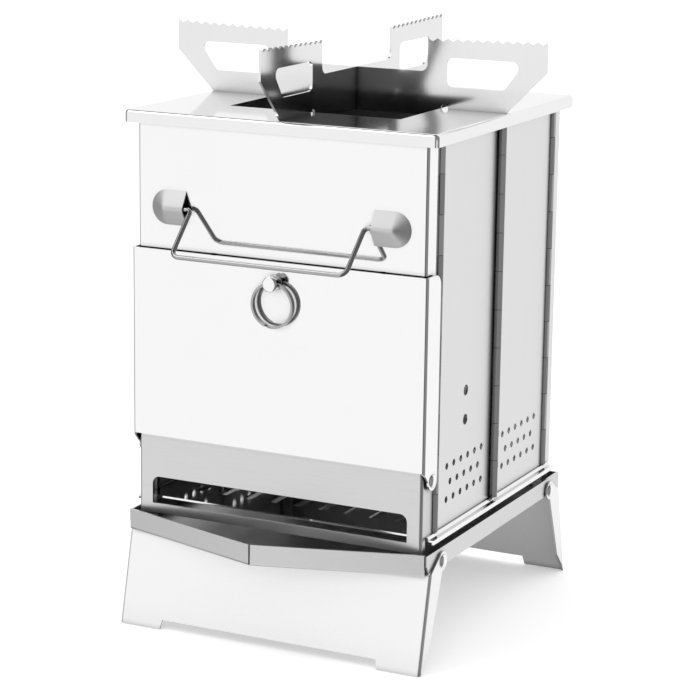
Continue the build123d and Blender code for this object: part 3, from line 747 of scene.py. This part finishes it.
class STOVE_OT_bail_clips(bpy.types.Operator):
    """Press the two ridged clips that hold the bail"""

    bl_idname = "stove.bail_clips"
    bl_label = "Bail clips"

    def execute(self, context):
        low, high = (Vector(corner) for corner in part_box("right_bail_clip"))
        half = (high.z - low.z) / 2
        straight = high.x - low.x - half
        clear_selection()
        bpy.ops.mesh.primitive_circle_add(vertices=CLIP_SIDES, radius=half, fill_type="NGON")
        obj = named("right_bail_clip_pressed")
        for vertex in obj.data.vertices:
            if vertex.co.x < -WELD:
                vertex.co = (-straight - CLIP_SPARE * half, half if vertex.co.y > 0 else -half, 0)
        edit_all()
        bpy.ops.mesh.remove_doubles(threshold=WELD)
        bpy.ops.mesh.select_mode(type="FACE")
        bpy.ops.mesh.select_all(action="SELECT")
        for inward, upward in CLIP_STEPS:
            bpy.ops.mesh.inset(thickness=inward, depth=upward, use_even_offset=True)
        bpy.ops.mesh.select_all(action="SELECT")
        bpy.ops.mesh.bisect(plane_co=(-straight, 0, 0), plane_no=(1, 0, 0), clear_inner=True)
        bpy.ops.object.mode_set(mode="OBJECT")
        thicken(obj, context.scene.stove_sizes.clip_sheet)
        edit_all()
        bpy.ops.mesh.bisect(
            plane_co=(0, 0, 0), plane_no=(0, 0, 1), clear_inner=True, use_fill=True
        )
        bpy.ops.object.mode_set(mode="OBJECT")
        upright = Matrix(((1, 0, 0), (0, 0, 1), (0, -1, 0))).transposed().to_4x4()
        origin = Vector((high.x - half, high.y, (low.z + high.z) / 2))
        set_in_place(obj, Matrix.Translation(origin) @ upright)
        dress(obj, "Clip sheet", "front_panel", ["right_bail_clip"])
        twin = mirror_copy(obj, "left_bail_clip_pressed")
        dress(twin, "Clip sheet", "front_panel", ["left_bail_clip"])
        return {"FINISHED"}


class STOVE_OT_pull_ring(bpy.types.Operator):
    """Wind the pull ring: two flat turns with one step between them"""

    bl_idname = "stove.pull_ring"
    bl_label = "Pull ring"

    def execute(self, context):
        low, high = (Vector(corner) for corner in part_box("pull_ring"))
        sizes = context.scene.stove_sizes
        band = sizes.ring_band
        middle = (low + high) / 2
        radius = sizes.ring_width / 2 - band / 2
        start = Vector((0, high.y - band / 2, middle.z - radius))
        clear_selection()
        bpy.ops.mesh.primitive_plane_add(size=band, location=start, rotation=(0, pi / 2, 0))
        obj = named("pull_ring_wound")
        bpy.ops.object.transform_apply(location=True, rotation=True, scale=True)
        edit_all()
        bpy.ops.mesh.delete(type="ONLY_FACE")
        bpy.ops.mesh.select_all(action="SELECT")
        self.wind(middle, *RING_TURN)
        step = (low.y - high.y + band) / RING_STEPS
        for _ in range(RING_STEPS):
            self.wind(middle, *RING_STEP)
            bpy.ops.transform.translate(value=(0, step, 0))
        self.wind(middle, *RING_TURN)
        bpy.ops.mesh.select_all(action="SELECT")
        bpy.ops.mesh.fill_holes(sides=4)
        face_outwards()
        soften(obj, RING_SOFTEN)
        dress(obj, "Bright wire", "pull_ring", ["pull_ring"])
        return {"FINISHED"}

    def wind(self, middle, turn, steps):
        """Spin the selected end of the ring about the ring's axis."""
        bpy.ops.mesh.spin(steps=steps, angle=radians(turn), center=middle, axis=(0, 1, 0))


class STOVE_OT_ring_stud(bpy.types.Operator):
    """Turn the stud that carries the pull ring and cross drill its neck"""

    bl_idname = "stove.ring_stud"
    bl_label = "Ring stud"

    def execute(self, context):
        low, high = (Vector(corner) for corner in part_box("ring_stud"))
        ring_low, ring_high = (Vector(corner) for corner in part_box("pull_ring"))
        head = context.scene.stove_sizes.stud_head / 2
        top = high.y - low.y
        neck = STUD_BODY[-1][0]
        profile = [*STUD_BODY, (neck, top - STUD_HEAD[0][1])]
        profile += [(head - inset, top - depth) for inset, depth in STUD_HEAD]
        height = (low.z + high.z) / 2
        obj = lathe("ring_stud_turned", profile, STUD_SIDES, aim((0, high.y, height), (0, -1, 0)))
        eye = (0, (ring_low.y + ring_high.y) / 2, height)
        clear_selection()
        bpy.ops.mesh.primitive_cylinder_add(
            vertices=EYE_SIDES,
            radius=EYE_RADIUS,
            depth=EYE_LENGTH,
            location=eye,
            rotation=(0, pi / 2, 0),
        )
        drill = named("ring_stud_drill")
        only(obj)
        bore = obj.modifiers.new("Eye", "BOOLEAN")
        bore.object = drill
        bore.solver = "EXACT"
        bpy.ops.object.modifier_apply(modifier=bore.name)
        bpy.data.objects.remove(drill)
        dress(obj, "Rivet steel", "feed_door", ["ring_stud"])
        return {"FINISHED"}


class STOVE_OT_rivets(bpy.types.Operator):
    """Turn the domed rivets that the door and the legs swing on"""

    bl_idname = "stove.rivets"
    bl_label = "Rivets"

    def execute(self, context):
        head = context.scene.stove_sizes.rivet_head / 2
        self.pair("door_rivets", "front_panel", head, DOOR_SHANK, (TAIL, DOOR_WASHER))
        self.pair("front_leg_rivets", "base", head, LEG_SHANK, (TAIL,))
        self.pair("rear_leg_rivets", "base", head, LEG_SHANK, (TAIL,))
        return {"FINISHED"}

    def pair(self, node, body, head, shank, flanges):
        """A rivet on the right and its twin on the left, from the inside outwards."""
        low, high = (Vector(corner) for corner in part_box(node))
        start = self.inner_end(node)
        profile = []
        for bottom, top in flanges:
            if profile:
                profile.append((shank, bottom))
            profile += [(TAIL_RADIUS, bottom), (TAIL_RADIUS, top), (shank, top)]
        seat = high.x - HEAD_RISE - start
        rim = seat + HEAD_BASE
        profile += [(shank, seat), (head, seat), (head, rim)]
        rings = dome(head, HEAD_RISE - HEAD_BASE, DOME_RINGS)
        profile += [(radius, rim + height) for radius, height in rings]
        place = aim((start, (low.y + high.y) / 2, (low.z + high.z) / 2), (1, 0, 0))
        right = lathe(node + "_right", profile, RIVET_SIDES, place)
        left = mirror_copy(right, node + "_left")
        obj = join([right, left], node + "_turned")
        dress(obj, "Rivet steel", body, [node])

    def inner_end(self, node):
        """How far out the inner end of a node's right rivet lies."""
        return min(vertex.co.x for vertex in NODES[node].data.vertices if vertex.co.x > 0)


class STOVE_OT_stage(bpy.types.Operator):
    """Set the camera, the floor, the lamps and the pale studio"""

    bl_idname = "stove.stage"
    bl_label = "Studio"

    def execute(self, context):
        settings = context.scene.stove_stage
        self.camera(settings)
        self.floor()
        self.world(settings)
        self.lamps(settings)
        context.scene.view_settings.view_transform = "Standard"
        return {"FINISHED"}

    def camera(self, settings):
        """The photograph's viewing angle."""
        clear_selection()
        bpy.ops.object.camera_add()
        camera = named("stove_camera")
        az, el, roll = settings.azimuth, settings.elevation, settings.roll
        back = Vector((sin(az) * cos(el), -cos(az) * cos(el), sin(el)))
        right = Vector((cos(az), sin(az), 0))
        up = right.cross(-back)
        side = cos(roll) * right + sin(roll) * up
        above = -sin(roll) * right + cos(roll) * up
        turn = Matrix((side, above, back)).transposed().to_4x4()
        camera.matrix_world = Matrix.Translation(CAMERA_PLACE) @ turn
        camera.data.sensor_width = SENSOR_WIDTH
        camera.data.lens = settings.lens
        camera.data.shift_x, camera.data.shift_y = CAMERA_SHIFT
        camera.data.clip_end = CAMERA_REACH
        bpy.context.scene.camera = camera

    def floor(self):
        """A white matt floor that keeps the stove's soft shadow."""
        clear_selection()
        bpy.ops.mesh.primitive_plane_add(size=FLOOR_SIZE, location=(0, 0, -FLOOR_DROP))
        floor = named("studio_floor")
        bpy.ops.object.transform_apply(location=True, rotation=True, scale=True)
        floor.visible_glossy = False
        material = bpy.data.materials.new("Studio floor")
        material.use_nodes = True
        tree = material.node_tree
        shader = tree.nodes["Principled BSDF"]
        shader.inputs["Base Color"].default_value = (*FLOOR_COLOUR, 1.0)
        shader.inputs["Roughness"].default_value = 0.9
        shader.inputs["Specular IOR Level"].default_value = 0.1
        shader.inputs["Emission Color"].default_value = (*WHITE, 1.0)
        path = tree.nodes.new("ShaderNodeLightPath")
        lift = math_node(tree, "MULTIPLY", path.outputs["Is Camera Ray"], FLOOR_LIFT)
        link(tree, lift, shader.inputs["Emission Strength"])
        floor.data.materials.append(material)

    def world(self, settings):
        """White all round, with dark cards to both sides and above for the metal."""
        world = bpy.data.worlds.new("Pale studio")
        bpy.context.scene.world = world
        world.use_nodes = True
        tree = world.node_tree
        backdrop = tree.nodes["Background"]
        backdrop.inputs["Strength"].default_value = 1.0
        place = tree.nodes.new("ShaderNodeTexCoord")
        parts = tree.nodes.new("ShaderNodeSeparateXYZ")
        link(tree, place.outputs["Generated"], parts.inputs["Vector"])
        front = math_node(tree, "MULTIPLY", parts.outputs["Y"], -1.0)
        azimuth = math_node(tree, "ARCTAN2", parts.outputs["X"], front)
        elevation = math_node(tree, "ARCSINE", parts.outputs["Z"])
        cards = self.card(tree, elevation, *UPPER_CARD)
        for middle, half, soft_half, strength in SIDE_CARDS:
            mask = self.card(tree, azimuth, middle, half, soft_half)
            beside = math_node(tree, "MULTIPLY", mask, strength)
            cards = math_node(tree, "MAXIMUM", cards, beside)
        path = tree.nodes.new("ShaderNodeLightPath")
        glossy = math_node(tree, "MULTIPLY", cards, path.outputs["Is Glossy Ray"])
        colour = colour_mix(tree, glossy, WHITE, scaled(WHITE, settings.dark))
        link(tree, colour, backdrop.inputs["Color"])

    def card(self, tree, angle, middle, half, soft_half):
        """A mask that is one within half degrees of the middle and fades to nothing."""
        away = gap(tree, angle, radians(middle))
        return ramp(tree, away, radians(soft_half), radians(half), "SMOOTHSTEP")

    def lamps(self, settings):
        """One large soft lamp above and to the left."""
        clear_selection()
        bpy.ops.object.light_add(type="AREA", location=LAMP_PLACE)
        lamp = named("key_lamp")
        lamp.data.shape = "DISK"
        lamp.data.size = LAMP_SIZE
        lamp.data.energy = settings.key_power
        lamp.matrix_world = aim(LAMP_PLACE, LAMP_AIM)


class STOVE_PT_panel(bpy.types.Panel):
    """Lists the stove's pieces in the sidebar"""

    bl_idname = "STOVE_PT_panel"
    bl_label = "Camp stove"
    bl_space_type = "VIEW_3D"
    bl_region_type = "UI"
    bl_category = "Camp stove"

    def draw(self, context):
        scene = context.scene
        for group in (scene.stove_sizes, scene.stove_finish, scene.stove_stage):
            box = self.layout.box()
            for key in group.__annotations__:
                box.prop(group, key)
        for operator in OPERATORS:
            self.layout.operator(operator.bl_idname)


OPERATORS = (
    STOVE_OT_sheets,
    STOVE_OT_carry_bail,
    STOVE_OT_bail_clips,
    STOVE_OT_pull_ring,
    STOVE_OT_ring_stud,
    STOVE_OT_rivets,
    STOVE_OT_stage,
)
GROUPS = (StoveSizes, StoveFinish, StoveStage)


def register():
    for item in (*GROUPS, *OPERATORS, STOVE_PT_panel):
        bpy.utils.register_class(item)
    bpy.types.Scene.stove_sizes = bpy.props.PointerProperty(type=StoveSizes)
    bpy.types.Scene.stove_finish = bpy.props.PointerProperty(type=StoveFinish)
    bpy.types.Scene.stove_stage = bpy.props.PointerProperty(type=StoveStage)


def unregister():
    del bpy.types.Scene.stove_sizes
    del bpy.types.Scene.stove_finish
    del bpy.types.Scene.stove_stage
    for item in reversed((*GROUPS, *OPERATORS, STOVE_PT_panel)):
        bpy.utils.unregister_class(item)


def main():
    register()
    clear_selection()
    bpy.ops.stove.sheets()
    bpy.ops.stove.carry_bail()
    bpy.ops.stove.bail_clips()
    bpy.ops.stove.pull_ring()
    bpy.ops.stove.ring_stud()
    bpy.ops.stove.rivets()
    bpy.ops.stove.stage()


if __name__ == "__main__":
    main()
